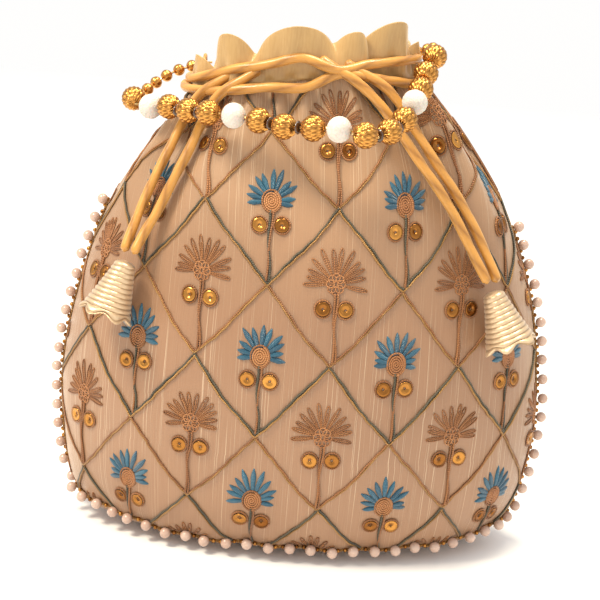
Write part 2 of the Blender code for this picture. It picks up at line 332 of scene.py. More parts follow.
def fold_height(t, angle):
    """How far the cloth stands out from the smooth skin: folds from the neck, and slack below."""
    degrees = np.degrees(angle)
    height = -1.8 * ease((t - 0.66) / 0.2)
    for place, width, start, lift in FOLDS:
        swing = place + 14 * (1 - t) * math.sin(place * 1.7)
        gap = (degrees - swing + 180) % 360 - 180
        reach = ease((t - start) / (0.92 - start)) * (1 - 0.45 * ease((t - 0.88) / 0.12))
        spread = width * (1 + 1.2 * (1 - reach))
        height = height + lift * reach**0.8 * np.exp(-((gap / spread) ** 2))
    pressed = np.exp(-(((degrees - 30) / 12) ** 2) - ((t - 0.95) / 0.045) ** 2)
    height = height - 5.2 * pressed  # where the handle's beads rest on the neck
    slack = 0.55 * np.sin(4.3 * angle + 9 * t + 0.7) * np.sin(11 * t + 1.9 * angle)
    slack = slack + 0.35 * np.sin(9.1 * angle - 14 * t) * np.sin(17 * t + 2.0)
    pull = 0.5 * np.sin(23 * angle + 2.0 * np.sin(9 * t)) * ease((0.24 - t) / 0.12)
    return (height + (slack + pull) * ease((t - 0.03) / 0.08)) * MM


def cloth(t, angle, lift=0.0):
    """The cloth's outer face."""
    t, angle = np.broadcast_arrays(np.asarray(t, float), np.asarray(angle, float))
    return skin(t, angle) + outward(t, angle) * (fold_height(t, angle) + lift)[..., None]


def seam_t(angle):
    low = SEAM_FRONT_T + (SEAM_SIDE_T - SEAM_FRONT_T) * np.abs(np.cos(angle)) ** 3
    return np.where(np.sin(angle) < 0, SEAM_SIDE_T, low)


class Panel:
    """A flat cut of cloth, (u, v) in metres from its bottom middle, and where it lies on the bag."""

    LEVELS = 220
    COLUMNS = 321

    def __init__(self, side):
        self.side = side
        self.levels = np.linspace(0.06, 1, self.LEVELS)
        self.across = np.linspace(-1, 1, self.COLUMNS)
        middle = skin(np.linspace(SEAM_FRONT_T, 1, 300), side * math.pi / 2)
        rise = np.concatenate([[0], np.cumsum(np.linalg.norm(np.diff(middle, axis=0), axis=1))])
        self.rise_of_level = np.interp(self.levels, np.linspace(SEAM_FRONT_T, 1, 300), rise)
        below = self.levels < SEAM_FRONT_T
        self.rise_of_level[below] = (self.levels[below] - SEAM_FRONT_T) * 0.12
        self.angles = np.array([self.angles_at(t) for t in self.levels])
        level_grid = np.repeat(self.levels[:, None], self.COLUMNS, 1)
        self.points = cloth(level_grid, self.angles)
        normals = np.cross(np.gradient(self.points, axis=1), np.gradient(self.points, axis=0))
        normals *= side
        self.normals = normals / np.linalg.norm(normals, axis=2, keepdims=True)

    def angles_at(self, t):
        """The gathers: the middle of the cloth lies unstretched, and its sides crowd together."""
        quarter = np.linspace(0, math.pi / 2, 120)
        line = skin(np.full(120, t), self.side * (math.pi / 2 - quarter))
        arc = np.concatenate([[0], np.cumsum(np.linalg.norm(np.diff(line, axis=0), axis=1))])
        crowding = PANEL_HALF / arc[-1]
        share = np.abs(self.across)
        if crowding > 1.01:
            power = min(3.0, (crowding - 0.1) / (crowding - 1))
            share = crowding * share + (1 - crowding) * share**power
        turned = np.interp(share * arc[-1], arc, quarter)
        return self.side * (math.pi / 2 - np.sign(self.across) * turned)

    def at(self, u, v, lift=0.0):
        """Points of the laid cloth, its normals there, and which of them lie on the panel."""
        u, v, lift = np.broadcast_arrays(*(np.asarray(a, float) for a in (u, v, lift)))
        t = np.interp(v, self.rise_of_level, self.levels)
        row = np.clip((t - self.levels[0]) / (1 - self.levels[0]), 0, 1) * (self.LEVELS - 1.001)
        column = np.clip(u / PANEL_HALF * 0.5 + 0.5, 0, 1) * (self.COLUMNS - 1.001)
        i, j = row.astype(int), column.astype(int)
        a, b = (row - i)[..., None], (column - j)[..., None]

        def blend(grid):
            low = grid[i, j] * (1 - b) + grid[i, j + 1] * b
            high = grid[i + 1, j] * (1 - b) + grid[i + 1, j + 1] * b
            return low * (1 - a) + high * a

        angle = blend(self.angles[..., None])[..., 0]
        normal = blend(self.normals)
        on_panel = (np.abs(u) < 0.975 * PANEL_HALF) & (t < 0.965) & (t > seam_t(angle) + 0.012)
        return blend(self.points) + normal * lift[..., None], normal, on_panel


def grid_faces(rows, columns, first=0, closed=False):
    faces = []
    for i in range(rows - 1):
        for j in range(columns if closed else columns - 1):
            k = (j + 1) % columns
            low, high = first + i * columns, first + (i + 1) * columns
            faces.append((low + j, low + k, high + k, high + j))
    return faces


front = Panel(1)
back = Panel(-1)

silk = Finish(
    "cream_dupion",
    Roughness=0.5,
    Sheen_Weight=0.35,
    Sheen_Roughness=0.4,
    Sheen_Tint=(1.0, 0.93, 0.80),
    Specular_IOR_Level=0.5,
)
lay = silk.spot("cloth", "Vector")
slubs = silk.noise(1.0, 3.0, lay, (2600, 55, 1))
coarse_slubs = silk.noise(1.0, 2.0, lay, (2400, 8, 1))
weft = silk.noise(1.0, 2.0, lay, (160, 3800, 1))
tone = silk.noise(26.0, 2.0)
streak = silk.add("ShaderNodeMapRange", {}, {"Value": coarse_slubs, "From Min": 0.60, "From Max": 0.68})
shade = silk.mix(tone, (0.240, 0.118, 0.060), (0.292, 0.150, 0.078))
# The cloth is painted a little paler towards the neck: a painted highlight where the upper cloth catches the
# light.
height_on_panel = silk.add("ShaderNodeSeparateXYZ", {}, {"Vector": lay}, out=1)
painted_neck_light = silk.add("ShaderNodeMapRange", {}, {"Value": height_on_panel, "From Min": 0.10, "From Max": 0.215})
shade = silk.mix(painted_neck_light * 0.5, shade, (0.46, 0.315, 0.165))
shade = silk.mix(slubs * 0.5, shade, (0.385, 0.228, 0.130))
shade = silk.mix(streak * 0.55, shade, (0.68, 0.50, 0.34))
weave_height = slubs * 0.6 + streak * 0.5 + weft * 0.35
silk.surface(
    Base_Color=shade,
    Roughness=0.52 - slubs * 0.24,
    Normal=silk.relief(weave_height, 0.35 * MM, 0.55),
)


def panel_shape(name, panel, levels, columns):
    """A panel from its bottom seam to the neck."""
    across = np.linspace(-1, 1, columns)
    bottom_angle = np.interp(across, panel.across, panel.angles[8])
    points, flat = [], []
    for j in range(levels):
        t = seam_t(bottom_angle)
        t = t + (1 - t) * (j / (levels - 1))
        at = (t - panel.levels[0]) / (1 - panel.levels[0]) * (panel.LEVELS - 1.001)
        i = at.astype(int)
        column = (across * 0.5 + 0.5) * (panel.COLUMNS - 1.001)
        k = column.astype(int)
        low = panel.angles[i, k] * (1 - column + k) + panel.angles[i, k + 1] * (column - k)
        high = panel.angles[i + 1, k] * (1 - column + k) + panel.angles[i + 1, k + 1] * (column - k)
        angle = low + (high - low) * (at - i)
        points.append(cloth(t, angle))
        rise = np.interp(t, panel.levels, panel.rise_of_level)
        flat.append(np.stack([across * PANEL_HALF, rise, rise * 0], -1))
    points = np.concatenate(points)
    return shape(name, points, grid_faces(levels, columns), silk.material, cloth=np.concatenate(flat))


front_cloth = panel_shape("front_cloth", front, 190, 300)
back_cloth = panel_shape("back_cloth", back, 170, 260)
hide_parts("front_panel")
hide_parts("back_panel")
for cloth_piece in (front_cloth, back_cloth):
    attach(cloth_piece, "bag")

# The base: the back panel turned under, flat where the bag stands.
BASE_COLUMNS = 260
round_angles = np.linspace(0, 2 * math.pi, BASE_COLUMNS, endpoint=False)
signed_angles = np.where(round_angles > math.pi, round_angles - 2 * math.pi, round_angles)
base_rows = [skin(0 * signed_angles, signed_angles) * (k / 8) for k in range(1, 9)]
for k in range(1, 14):
    base_rows.append(cloth(seam_t(signed_angles) * k / 13, signed_angles))
base_points = np.concatenate(base_rows)
base_points[:, 2] = np.maximum(base_points[:, 2], 0)
base_faces = grid_faces(len(base_rows), BASE_COLUMNS, closed=True)
base_faces.append(tuple(range(BASE_COLUMNS))[::-1])
base_cloth = shape("base_cloth", base_points, base_faces, silk.material, cloth=base_points[:, [0, 1, 2]])
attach(base_cloth, "bag")
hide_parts("back_panel")

# ------------------------------------------------------------------------------------------
# The embroidery: a trellis of couched threads, with a flower on a stem in every diamond,
# blue satin stitch in one row and brown-gold thread in the next, with sequins below each.
# ------------------------------------------------------------------------------------------
CELL_HALF_WIDTH = 26.8 * MM
CELL_HALF_HEIGHT = 30.5 * MM
FIRST_FLOWER = (-15.6 * MM, 24 * MM)


class Stitches:
    """Threads that are laid on a panel, gathered into one mesh."""

    def __init__(self):
        self.points, self.faces, self.run, self.tint = [], [], [], []
        self.count = 0
        self.draw = np.random.default_rng(11)

    def keep(self, points, faces, run, tint):
        self.points.append(points)
        self.faces += [tuple(n + self.count for n in face) for face in faces]
        self.run.append(run)
        self.tint.append(np.full(len(points), tint))
        self.count += len(points)

    def thread(self, panel, u, v, lift, radius, sides=5):
        """A round thread along a line of the flat cloth; it stops where the panel does."""
        points, normals, on_panel = panel.at(u, v, lift)
        ends = np.flatnonzero(np.diff(np.concatenate([[0], on_panel.astype(int), [0]])))
        for start, stop in zip(ends[::2], ends[1::2]):
            if stop - start > 2:
                self.tube(points[start:stop], normals[start:stop], radius, sides)

    def tube(self, points, normals, radius, sides=5):
        ahead = np.gradient(points, axis=0)
        ahead /= np.linalg.norm(ahead, axis=1, keepdims=True) + 1e-12
        side = np.cross(ahead, normals)
        side /= np.linalg.norm(side, axis=1, keepdims=True) + 1e-12
        up = np.cross(side, ahead)
        rings = []
        for k in range(sides):
            turn = 2 * math.pi * k / sides
            rings.append(points + radius * (math.cos(turn) * side + math.sin(turn) * up))
        rings = np.stack(rings, 1).reshape(-1, 3)
        faces = grid_faces(len(points), sides, closed=True)
        faces += [tuple(range(sides))[::-1], tuple(range(len(rings) - sides, len(rings)))]
        travelled = np.concatenate([[0], np.cumsum(np.linalg.norm(np.diff(points, axis=0), axis=1))])
        self.keep(rings, faces, np.repeat(travelled, sides), self.draw.random())

    def pad(self, panel, u, v, lift):
        """A domed patch of satin stitch; u, v and lift are grids, along it and across it."""
        points, _, on_panel = panel.at(u, v, lift)
        if on_panel.all():
            rows, columns = u.shape
            along = np.repeat(np.arange(rows) / (rows - 1), columns)
            self.keep(points.reshape(-1, 3), grid_faces(rows, columns), along, self.draw.random())

    def made(self, name, finish):
        piece = shape(
            name,
            np.concatenate(self.points),
            self.faces,
            finish,
            run=np.concatenate(self.run),
            tint=np.concatenate(self.tint),
        )
        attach(piece, "bag")
        return piece


def thread_finish(name, dark, light, roughness, metallic=0.0, pitch=0.9):
    """Twisted thread: fine slanted plies along its run, and each length a little different."""
    thread = Finish(name, Roughness=roughness, Metallic=metallic, Sheen_Weight=0.12)
    plies = thread.spot("run") * (2 * math.pi / (pitch * MM))
    plies = thread.add("ShaderNodeMath", {"operation": "SINE"}, {0: plies}) * 0.5 + 0.5
    fuzz = thread.noise(900.0)
    tone = thread.spot("tint") * 0.45 + plies * 0.35 + fuzz * 0.3
    thread.surface(
        Base_Color=thread.mix(tone, dark, light),
        Normal=thread.relief(plies + fuzz * 0.6, 0.25 * MM, 0.7),
    )
    return thread.material


def satin_finish(name, dark, light):
    """Satin stitch: close parallel threads, silky along them."""
    satin = Finish(name, Roughness=0.38, Sheen_Weight=0.25, Specular_IOR_Level=0.6)
    lines = satin.add("ShaderNodeMath", {"operation": "SINE"}, {0: satin.spot("run") * 95.0}) * 0.5 + 0.5
    fuzz = satin.noise(700.0)
    tone = satin.spot("tint") * 0.35 + lines * 0.35 + fuzz * 0.35
    satin.surface(
        Base_Color=satin.mix(tone, dark, light),
        Normal=satin.relief(lines + fuzz * 0.5, 0.3 * MM, 0.8),
    )
    return satin.material


green_thread = Stitches()
gold_thread = Stitches()
brown_thread = Stitches()
pale_thread = Stitches()
blue_petals = Stitches()
sequins = Stitches()
waver = np.random.default_rng(3)


def vee(u, v):
    """The line of a diamond's two lower sides, drawn by hand: left corner, bottom, right corner."""
    steps = np.linspace(-1, 1, 121)
    bend = 0.9 * MM * np.sin(np.abs(steps) * math.pi)
    drift = 0.4 * MM * np.sin(steps * 9 + waver.uniform(0, 6))
    drift = drift + 0.16 * MM * np.sin(steps * 37 + waver.uniform(0, 6))
    return u + steps * CELL_HALF_WIDTH, v - CELL_HALF_HEIGHT * (1 - np.abs(steps)) - bend + drift


def couched_pair(panel, u, v, left, right, spacing, radius, pitch):
    """Two threads laid side by side along a line, wandering a little."""
    run = np.concatenate([[0], np.cumsum(np.hypot(np.diff(u), np.diff(v)))])
    ahead = np.stack([np.gradient(u), np.gradient(v)])
    ahead /= np.hypot(*ahead)
    swing = np.cos(run * 2 * math.pi / pitch + waver.uniform(0, 6))
    rise = np.sin(run * 2 * math.pi / pitch)
    for stitches, way in ((left, 1), (right, -1)):
        offset = way * spacing * (0.8 + 0.2 * swing)
        height = radius * (1.0 + 0.2 * way * rise)
        stitches.thread(panel, u - offset * ahead[1], v + offset * ahead[0], height, radius)


def petal_fan(count):
    return [math.radians(a) for a in np.linspace(-97, 97, count)]


def satin_flower(panel, u, v, size):
    """Eleven satin-stitched petals that fan up from the flower's eye."""
    along = np.linspace(0, 1, 11)[:, None]
    across = np.linspace(-1, 1, 7)[None, :]
    for angle in petal_fan(11):
        angle += waver.uniform(-0.06, 0.06)
        reach = size * waver.uniform(0.90, 1.08) * (1.0 if abs(angle) < 1.3 else 0.9)
        distance = (3.9 + 9.6 * along) * MM * reach * (1 - 0.2 * math.sin(angle) ** 2)
        half = (0.5 + 0.5 * along) * 1.45 * MM * np.minimum(1, 0.08 + (1 - along) / 0.42) ** 0.8 * across
        height = (0.15 + 0.75 * np.sqrt(np.maximum(0, 1 - across**2))) * MM * np.sin(math.pi * along) ** 0.4
        blue_petals.pad(
            panel,
            u + distance * math.sin(angle) + half * math.cos(angle),
            v + distance * math.cos(angle) - half * math.sin(angle),
            height,
        )


def line_flower(panel, u, v, size):
    """The same flower in brown-gold thread: each petal a narrow loop with a thread inside it."""
    turn = np.linspace(0, 2 * math.pi, 19)
    for angle in petal_fan(12):
        angle += waver.uniform(-0.07, 0.07)
        reach = size * waver.uniform(0.9, 1.06)
        distance = (8.9 - 5.2 * np.cos(turn)) * MM * reach * (1 - 0.16 * math.sin(angle) ** 2)
        half = 0.72 * MM * np.sin(turn) * (1 - 0.35 * np.cos(turn))
        brown_thread.thread(
            panel,
            u + distance * math.sin(angle) + half * math.cos(angle),
            v + distance * math.cos(angle) - half * math.sin(angle),
            0.24 * MM,
            0.26 * MM,
        )
        inside = np.linspace(4.5, 11.0, 8) * MM * reach
        inner_u, inner_v = u + inside * math.sin(angle), v + inside * math.cos(angle)
        pale_thread.thread(panel, inner_u, inner_v, 0.15 * MM, 0.24 * MM)


def flower_eye(panel, u, v, filled):
    """The flower's eye: a coil of thread inside a ring, or small loops about its middle."""
    rim = np.linspace(0, 2 * math.pi, 31)
    if filled:
        turn = np.linspace(0.4, 4.2 * 2 * math.pi, 110)
        radius = 3.4 * MM * turn / turn[-1]
        coil_u, coil_v = u + radius * np.cos(turn), v + 1.22 * radius * np.sin(turn)
        pale_thread.thread(panel, coil_u, coil_v, 0.35 * MM, 0.44 * MM)
        rim_u, rim_v = u + 3.75 * MM * np.cos(rim), v + 4.5 * MM * np.sin(rim)
        brown_thread.thread(panel, rim_u, rim_v, 0.5 * MM, 0.4 * MM)
        return
    for angle in np.linspace(0, 2 * math.pi, 8, endpoint=False):
        across, rise = 2.1 * MM * math.cos(angle), 2.6 * MM * math.sin(angle)
        loop = 1.5 * MM
        ring_u, ring_v = u + across + loop * np.cos(rim), v + rise + loop * np.sin(rim)
        pale_thread.thread(panel, ring_u, ring_v, 0.35 * MM, 0.27 * MM)


def sequin(panel, u, v):
    """A cupped gilt disc with a hole, held by a ring of thread."""
    turn = np.linspace(0, 2 * math.pi, 21)[None, :]
    radius = np.array([0.5, 0.55, 1.7, 2.75, 2.8])[:, None] * MM
    height = np.array([0.1, 0.35, 0.42, 0.85, 0.55])[:, None] * MM
    tilt = waver.uniform(-0.12, 0.12)
    lift = height + radius * tilt * np.cos(turn + waver.uniform(0, 6)) + 0.15 * MM
    sequins.pad(panel, u + radius * np.cos(turn), v + radius * np.sin(turn), lift)
    round_ = np.linspace(0, 2 * math.pi, 23)
    ring_u, ring_v = u + 3.2 * MM * np.cos(round_), v + 3.4 * MM * np.sin(round_)
    brown_thread.thread(panel, ring_u, ring_v, 0.45 * MM, 0.42 * MM)


def flower_on_stem(panel, u, v, blue):
    size = waver.uniform(0.94, 1.04)
    (satin_flower if blue else line_flower)(panel, u, v, size)
    flower_eye(panel, u, v, blue)
    for way in (-1, 1):
        sequin(panel, u + way * 4.4 * MM, v - (9.8 + waver.uniform(-0.5, 0.5)) * MM)
    down = np.linspace(3.6, 31.3, 28) * MM
    lean = waver.uniform(-0.05, 0.05)
    sway = lean * down + 0.35 * MM * np.sin(down * 300)
    stem_side = green_thread if blue else brown_thread
    apart = 0.62 * MM * np.cos((down / MM - 4) / 9.5)
    stem_side.thread(panel, u + sway - apart, v - down, 0.5 * MM, 0.46 * MM)
    brown_thread.thread(panel, u + sway + apart, v - down, 0.5 * MM, 0.5 * MM)


for panel in (front, back):
    for row in range(-1, 7):
        for column in range(-3, 4):
            cell_u = FIRST_FLOWER[0] + (2 * column + (row % 2)) * CELL_HALF_WIDTH
            cell_v = FIRST_FLOWER[1] + row * CELL_HALF_HEIGHT
            cell_u += waver.uniform(-0.6, 0.6) * MM
            line_u, line_v = vee(cell_u, cell_v)
            if row % 2 == 0:
                couched_pair(panel, line_u, line_v, green_thread, gold_thread, 0.52 * MM, 0.46 * MM, 26 * MM)
            else:
                couched_pair(panel, line_u, line_v, brown_thread, gold_thread, 0.36 * MM, 0.40 * MM, 15 * MM)
            flower_on_stem(panel, cell_u, cell_v + 2 * MM, row % 2 == 0)

green_finish = thread_finish("green_thread", (0.018, 0.017, 0.010), (0.085, 0.066, 0.032), 0.55)
pale_finish = thread_finish("pale_thread", (0.23, 0.075, 0.02), (0.47, 0.205, 0.068), 0.5, 0.1)
gold_finish = thread_finish("gold_thread", (0.15, 0.062, 0.014), (0.44, 0.23, 0.062), 0.38, 0.4, 0.7)
brown_finish = thread_finish("brown_thread", (0.13, 0.042, 0.010), (0.34, 0.135, 0.038), 0.48, 0.2)
blue_finish = satin_finish("blue_satin_stitch", (0.001, 0.028, 0.060), (0.005, 0.130, 0.215))
sequin_finish = Finish("sequin_gilt", Metallic=0.85, Roughness=0.34)
sequin_finish.surface(
    Base_Color=sequin_finish.mix(sequin_finish.spot("tint"), (0.20, 0.07, 0.012), (0.50, 0.23, 0.05)),
    Roughness=sequin_finish.noise(300.0) * 0.3 + 0.1,
)
green_thread.made("green_couching", green_finish)
gold_thread.made("gold_couching", gold_finish)
brown_thread.made("brown_couching", brown_finish)
pale_thread.made("pale_couching", pale_finish)
blue_petals.made("blue_flowers", blue_finish)
sequins.made("sequins", sequin_finish.material)

# ------------------------------------------------------------------------------------------
# The pearl edging: imitation pearls on a thread, caught in the seam beside a gilt braid, with
# a seed bead between each two, down both sides and across the bottom.
# ------------------------------------------------------------------------------------------
PEARL_R = 2.25 * MM
PEARL_PITCH = 8.4 * MM
PEARL_TOP_T = 0.68
EDGE_LEVELS = np.linspace(PEARL_TOP_T, SEAM_SIDE_T, 160)
EDGE_ANGLES = np.linspace(0, math.pi, 400)[1:-1]
edge_t = np.concatenate([EDGE_LEVELS, seam_t(EDGE_ANGLES), EDGE_LEVELS[::-1]])
edge_angle = np.concatenate([0 * EDGE_LEVELS, EDGE_ANGLES, 0 * EDGE_LEVELS + math.pi])
edge = cloth(edge_t, edge_angle)
edge_out = np.stack([np.cos(edge_angle), -0.8 * np.sin(edge_angle), 0 * edge_angle], -1)
edge_out /= np.linalg.norm(edge_out, axis=1, keepdims=True)
edge_run = np.concatenate([[0], np.cumsum(np.linalg.norm(np.diff(edge, axis=0), axis=1))])


def along_edge(distance, out):
    """A point beside the seam, that far along it and that far out from it."""
    place = np.array([np.interp(distance, edge_run, edge[:, k] + out * edge_out[:, k]) for k in range(3)])
    place[2] = max(place[2], PEARL_R + 0.05 * MM)
    return place


class Lumps:
    """Round beads gathered into one mesh; a bead is a profile turned about its own bore."""

    def __init__(self):
        self.points, self.faces, self.groove, self.tint = [], [], [], []
        self.count = 0
        self.draw = np.random.default_rng(5)

    def bead(self, centre, along, radius, around, rings, relief=None, squash=1.0, bore=0.12):
        polar = np.linspace(bore, math.pi - bore, rings)[:, None]
        turn = np.linspace(0, 2 * math.pi, around, endpoint=False)[None, :]
        swell = 1 + (relief(polar, turn) if relief else 0 * polar * turn)
        spin = self.draw.uniform(0, 2 * math.pi)
        local = np.stack([
            radius * swell * np.sin(polar) * np.cos(turn + spin),
            radius * swell * np.sin(polar) * np.sin(turn + spin),
            radius * swell * squash * np.cos(polar) + 0 * turn,
        ], -1).reshape(-1, 3)
        axes = np.array(Vector(along).to_track_quat("Z", "Y").to_matrix())
        first = self.count
        self.faces += grid_faces(rings, around, first, closed=True)
        self.faces.append(tuple(range(first, first + around))[::-1])
        self.faces.append(tuple(range(first + (rings - 1) * around, first + rings * around)))
        self.points.append(np.asarray(centre) + local @ axes.T)
        self.groove.append(swell.reshape(-1))
        self.tint.append(np.full(len(local), self.draw.random()))
        self.count += len(local)

    def made(self, name, finish, body, slot, nodes):
        piece = shape(
            name,
            np.concatenate(self.points),
            self.faces,
            finish,
            groove=np.concatenate(self.groove),
            tint=np.concatenate(self.tint),
        )
        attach(piece, body)
        if nodes:
            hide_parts(*nodes)
        return piece


pearls, seeds = Lumps(), Lumps()
braid = Stitches()
pearl_count = int(edge_run[-1] / PEARL_PITCH)
for k in range(pearl_count + 1):
    distance = edge_run[-1] * k / pearl_count
    jitter = pearls.draw.uniform(-0.35, 0.35) * MM
    pearls.bead(along_edge(distance + jitter, PEARL_R + 0.9 * MM + jitter), (0, 0, 1), PEARL_R, 18, 12)
    for step in (0.32, 0.68):
        seeds.bead(along_edge(distance + step * PEARL_PITCH, 1.1 * MM), (0, 1, 0), 0.95 * MM, 10, 7)
for way in (-1, 1):
    ripple = np.sin(edge_run * 2 * math.pi / (3.4 * MM) + way * math.pi / 2) * 0.5 * MM
    braid_line = edge + edge_out * (0.45 * MM + 0.3 * way * ripple)[:, None]
    braid_line[:, 1] += ripple * np.abs(np.cos(edge_angle))
    braid_line[:, 2] = np.maximum(braid_line[:, 2] + ripple * np.abs(np.sin(edge_angle)), 0.5 * MM)
    braid.tube(braid_line, edge_out, 0.55 * MM, 6)

pearl_finish = Finish("pearl", Coat_Weight=0.6, Coat_Roughness=0.15, Specular_IOR_Level=0.6)
pearl_tone = pearl_finish.spot("tint") * 0.6 + pearl_finish.noise(350.0) * 0.4
pearl_finish.surface(
    Base_Color=pearl_finish.mix(pearl_tone, (0.42, 0.255, 0.185), (0.60, 0.43, 0.34)),
    Roughness=pearl_finish.noise(500.0) * 0.2 + 0.2,
)
pearls.made("pearls", pearl_finish.material, "bag", "pearl", ["pearl_edging"])
seeds.made("seam_seed_beads", sequin_finish.material, "bag", "pearl", ["pearl_edging"])
braid.made("seam_braid", gold_finish)

# ------------------------------------------------------------------------------------------
# The frill: plain golden satin above the drawstrings, which opens into uneven soft petals,
# and the lining, drawn into a rosette inside it.
# ------------------------------------------------------------------------------------------
# Petals: angle and half width in degrees, height and outward curl in mm.
PETALS = [
    (171, 15, 14.0, 3.4),
    (135, 14, 20.5, 5.0),
    (97, 22, 17.0, 5.0),
    (64, 10, 13.0, 3.4),
    (38, 20, 21.5, 5.4),
    (5, 12, 12.0, 3.4),
    (-26, 15, 11.0, 4.0),
    (-62, 18, 9.5, 4.2),
    (-100, 18, 9.5, 4.0),
    (-139, 17, 11.0, 3.6),
]
FRILL_COLUMNS, FRILL_ROWS = 420, 26
satin = Finish(
    "golden_satin", Roughness=0.36, Sheen_Weight=0.4, Sheen_Tint=(1.0, 0.9, 0.7), Specular_IOR_Level=0.55
)
satin_threads = satin.noise(1.0, 2.0, None, (1500, 1500, 120))
satin_tone = satin.noise(60.0)
satin_shade = satin.mix(satin_tone, (0.32, 0.17, 0.045), (0.42, 0.245, 0.078))
satin.surface(
    Base_Color=satin.mix(satin_threads * 0.4, satin_shade, (0.66, 0.47, 0.22)),
    Roughness=satin_threads * 0.2 + 0.28,
    Normal=satin.relief(satin_threads, 0.2 * MM, 0.35),
)
frill_angles = np.linspace(-math.pi, math.pi, FRILL_COLUMNS, endpoint=False)
frill_degrees = np.degrees(frill_angles)
crest = 0 * frill_angles + 3.6
curl = 0 * frill_angles - 2.2
for place, half, height, out in PETALS:
    gap = ((frill_degrees - place + 180) % 360 - 180) / half
    dome = np.maximum(0, 1 - np.abs(gap) ** 1.9) ** 0.7
    crest = np.maximum(crest, 0.76 * height * (0.12 + 0.88 * dome) * (np.abs(gap) < 1))
    curl = np.maximum(curl, -2.2 + (out + 2.2) * np.maximum(0, 1 - np.abs(gap) ** 1.7))
smoothing = np.exp(-np.linspace(-2, 2, 7) ** 2)
smoothing /= smoothing.sum()
crest = np.convolve(np.concatenate([crest[-3:], crest, crest[:3]]), smoothing, "valid")
neck_line = cloth(0 * frill_angles + 0.955, frill_angles)
neck_top = skin(0 * frill_angles + 1.0, frill_angles)
frill_out = np.stack([np.cos(frill_angles), -np.sin(frill_angles) * 1.0, 0 * frill_angles], -1)
frill_rows = []
for k in range(FRILL_ROWS):
    share = k / (FRILL_ROWS - 1)
    pinch = (1 - share) ** 2
    base = neck_line * pinch + neck_top * (1 - pinch)
    gathers = 0.9 * np.sin(frill_angles * 31 + 1.5 * np.sin(frill_angles * 3))
    gathers = gathers * (1 - share) ** 1.2 * ease(share * 6)
    roll = 1.6 * math.sin(share * math.pi * 0.9) - 0.8 * share**3
    spread = (curl * share**0.9 + gathers + roll * 0.6 + 0.4) * MM
    rise = crest * (share - 0.10 * share**4) * MM
    row = base + frill_out * spread[:, None]
    row[:, 2] = base[:, 2] + rise * (1 - pinch * 0.5)
    frill_rows.append(row)
frill = shape(
    "mouth_frill_cloth",
    np.concatenate(frill_rows),
    grid_faces(FRILL_ROWS, FRILL_COLUMNS, closed=True),
    satin.material,
)
thickness = frill.modifiers.new("cloth", "SOLIDIFY")
thickness.thickness = 0.5 * MM
thickness.offset = -1
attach(frill, "bag")
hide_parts("mouth_frill")

ROSETTE_ROWS = 22
rosette_rows = []
for k in range(ROSETTE_ROWS):
    share = 1 - k / (ROSETTE_ROWS - 1) * 0.96
    pleats = 1.5 * np.sin(frill_angles * 19) * ease(share * 1.4) * (1 - share * 0.4)
    row = skin(0 * frill_angles + 0.985, frill_angles)
    middle = row.mean(axis=0)
    row = middle + (row - middle) * (share * 0.965 + 0.01)
    row[:, 2] -= (6 * (1 - share) ** 0.7 + 0.8 * pleats * (1 - share) + 0.5) * MM
    rosette_rows.append(row)
rosette = shape(
    "lining_rosette",
    np.concatenate(rosette_rows),
    grid_faces(ROSETTE_ROWS, FRILL_COLUMNS, closed=True)
    + [tuple(range((ROSETTE_ROWS - 1) * FRILL_COLUMNS, ROSETTE_ROWS * FRILL_COLUMNS))],
    satin.material,
)
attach(rosette, "bag")
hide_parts("lining_bag")

# ------------------------------------------------------------------------------------------
# The drawstrings: two satin cords in the neck, each turned once round it, with its two ends
# brought out together at one side and hanging down the shoulder to a bell.
# ------------------------------------------------------------------------------------------
CORD_R = 2.0 * MM
cord_finish = Finish(
    "golden_cord", Roughness=0.3, Sheen_Weight=0.3, Sheen_Tint=(1.0, 0.85, 0.55), Specular_IOR_Level=0.6
)
cord_plies = cord_finish.spot("ply")
cord_fuzz = cord_finish.noise(500.0)
# Painted shade and highlight: the cord's colour is darker in the grooves between its plies and lighter on
# their crowns.
cord_colour_with_groove_shade = cord_finish.mix(cord_plies * 0.75 + cord_fuzz * 0.25, (0.22, 0.078, 0.007), (0.58, 0.27, 0.045))
cord_finish.surface(
    Base_Color=cord_colour_with_groove_shade,
    Roughness=cord_fuzz * 0.25 + 0.25,
    Normal=cord_finish.relief(cord_plies + cord_fuzz * 0.4, 0.3 * MM, 0.5),
)


def twisted_cord(name, line, radius, closed=False, plies=2, pitch=34 * MM, sides=18):
    """A round cord whose surface shows its twisted plies."""
    line = np.asarray(line, float)
    if closed:
        ahead = np.roll(line, -1, 0) - np.roll(line, 1, 0)
    else:
        ahead = np.gradient(line, axis=0)
    ahead /= np.linalg.norm(ahead, axis=1, keepdims=True)
    side = np.cross(ahead, [0.0, 0.0, 1.0])
    side /= np.linalg.norm(side, axis=1, keepdims=True) + 1e-9
    up = np.cross(side, ahead)
    run = np.concatenate([[0], np.cumsum(np.linalg.norm(np.diff(line, axis=0), axis=1))])
    if closed:
        whole = run[-1] + np.linalg.norm(line[0] - line[-1])
        pitch = whole / round(whole / pitch)
    turn = np.linspace(0, 2 * math.pi, sides, endpoint=False)[None, :]
    wave = np.abs(np.sin(plies / 2 * (turn - 2 * math.pi * run[:, None] / pitch)))
    reach = radius * (0.84 + 0.16 * wave**0.5)
    if not closed:
        ends = np.minimum(run, run[-1] - run) / (radius * 0.8)
        reach = reach * np.sqrt(np.clip(1 - (1 - np.clip(ends, 0, 1)) ** 2, 0.04, 1))[:, None]
    points = line[:, None, :] + reach[..., None] * (
        np.cos(turn)[..., None] * side[:, None, :] + np.sin(turn)[..., None] * up[:, None, :]
    )
    count = len(line)
    faces = grid_faces(count, sides, closed=True)
    if closed:
        last = (count - 1) * sides
        faces += [(last + j, last + (j + 1) % sides, (j + 1) % sides, j) for j in range(sides)]
    else:
        faces += [tuple(range(sides))[::-1], tuple(range((count - 1) * sides, count * sides))]
    return shape(name, points.reshape(-1, 3), faces, cord_finish.material, ply=(wave**0.7).reshape(-1))


